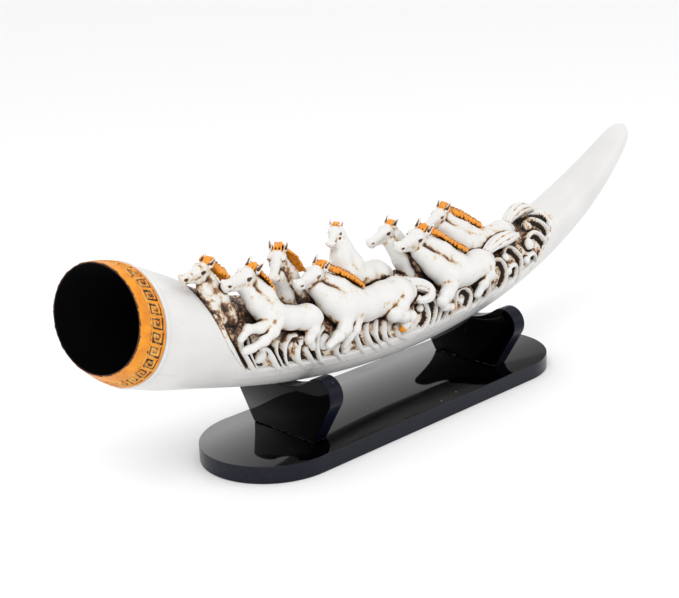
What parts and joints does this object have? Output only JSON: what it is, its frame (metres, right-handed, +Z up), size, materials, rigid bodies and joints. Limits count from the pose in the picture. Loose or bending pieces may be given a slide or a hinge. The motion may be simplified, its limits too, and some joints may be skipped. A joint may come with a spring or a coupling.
{
  "type": "carved ornamental horn on stand",
  "caption": "Curved ivory-coloured horn carved with a running herd of horses over breaking waves, with a patterned band at its mouth, lying in cradles on a black stand.",
  "frame": {"origin": "centre of the base plate's underside, on the surface the stand rests on", "axes": "+X from the horn's open mouth to its closed tip, +Z up, -Y the carved front"},
  "size_m": [0.3584, 0.066, 0.1086],
  "materials": {
    "ivory_resin": "semi-gloss ivory resin",
    "antiqued_resin": "rough, brown antique wash",
    "gilt_paint": "orange-gold paint, semi-gloss",
    "black_acrylic": "polished acrylic"
  },
  "bodies": {
    "stand": {"base_plate": "black_acrylic", "cradle_left": "black_acrylic", "cradle_right": "black_acrylic"},
    "horn": {"horn_shell": "ivory_resin", "rock_ground": "antiqued_resin", "mouth_band": "gilt_paint", "horse_1": "ivory_resin", "horse_2": "ivory_resin", "horse_3": "ivory_resin", "horse_4": "ivory_resin", "horse_5": "ivory_resin", "horse_6": "ivory_resin", "horse_7": "ivory_resin", "horse_8": "ivory_resin", "wave_1": "ivory_resin", "wave_2": "ivory_resin", "wave_3": "ivory_resin", "wave_4": "ivory_resin", "wave_5": "ivory_resin", "wave_6": "ivory_resin", "wave_7": "ivory_resin", "wave_8": "ivory_resin", "wave_9": "ivory_resin", "wave_10": "ivory_resin", "wave_11": "ivory_resin", "wave_12": "ivory_resin", "wave_13": "ivory_resin", "wave_14": "ivory_resin"}
  },
  "joints": [
    {"name": "horn_lift", "type": "slide", "parent": "stand", "child": "horn", "axis": [0, 0, 1], "range_m": [0, 0.15]}
  ]
}
